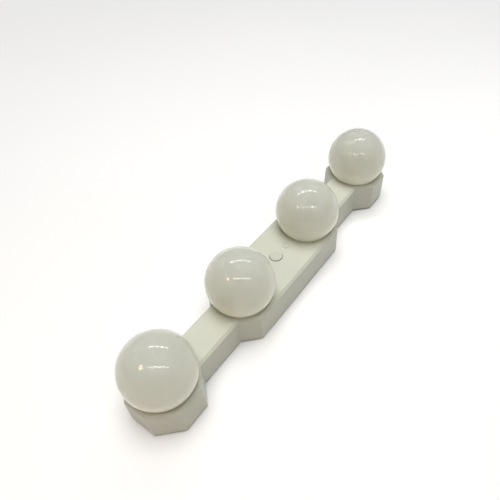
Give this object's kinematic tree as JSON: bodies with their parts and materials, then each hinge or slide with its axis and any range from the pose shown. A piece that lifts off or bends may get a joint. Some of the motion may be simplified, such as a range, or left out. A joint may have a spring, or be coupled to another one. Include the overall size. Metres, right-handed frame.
{
  "type": "vanity light bar",
  "caption": "Slim battery light bar for a mirror: frosted globes on a faceted plastic housing, with a push button, battery door and adhesive pads.",
  "frame": {"origin": "middle of the plane that the mounting pads touch, lying on its back", "axes": "+X along the bar, +Y across it, +Z out of the wall or mirror through the globes"},
  "size_m": [0.3044, 0.0504, 0.0661],
  "materials": {
    "housing": "satin ivory",
    "globe": "glossy milky white",
    "cap": "satin ivory",
    "contact": "nickel plated",
    "screw": "zinc plated",
    "cell": "plain dark sleeve",
    "board": "green solder mask",
    "led": "pale yellow phosphor",
    "switch": "black",
    "foam": "foam with adhesive faces",
    "red_wire": "matt insulation",
    "black_wire": "matt insulation"
  },
  "bodies": {
    "bar": {"front_housing": "housing", "back_plate": "housing", "battery_1": "cell", "battery_2": "cell", "battery_3": "cell", "battery_4": "cell", "terminal_positive": "contact", "terminal_negative": "contact", "bridge_contact": "contact", "contact_spring_1": "contact", "contact_spring_2": "contact", "globe_1": "globe", "globe_2": "globe", "globe_3": "globe", "globe_4": "globe", "led_board_1": "board", "led_board_2": "board", "led_board_3": "board", "led_board_4": "board", "led_1": "led", "led_2": "led", "led_3": "led", "led_4": "led", "switch_body": "switch", "switch_board": "board", "globe_lead_1": "black_wire", "globe_lead_2": "black_wire", "globe_lead_3": "black_wire", "globe_lead_4": "black_wire", "battery_lead_positive": "red_wire", "battery_lead_negative": "black_wire", "screw_1": "screw", "screw_2": "screw", "screw_3": "screw", "screw_4": "screw", "screw_5": "screw", "screw_6": "screw", "mounting_pad_1": "foam", "mounting_pad_2": "foam"},
    "button": {"button_cap": "cap", "switch_plunger": "switch"},
    "door": {"battery_door": "housing"}
  },
  "joints": [
    {"name": "button_press", "type": "slide", "parent": "bar", "child": "button", "axis": [0, 0, -1], "range_m": [0, 0.001], "stiffness_N_per_m": 600, "springref_m": -0.002},
    {"name": "door_swing", "type": "hinge", "parent": "bar", "child": "door", "pos_m": [-0.05425, 0, 0.00225], "axis": [0, 1, 0], "range_deg": [0, 75]}
  ]
}
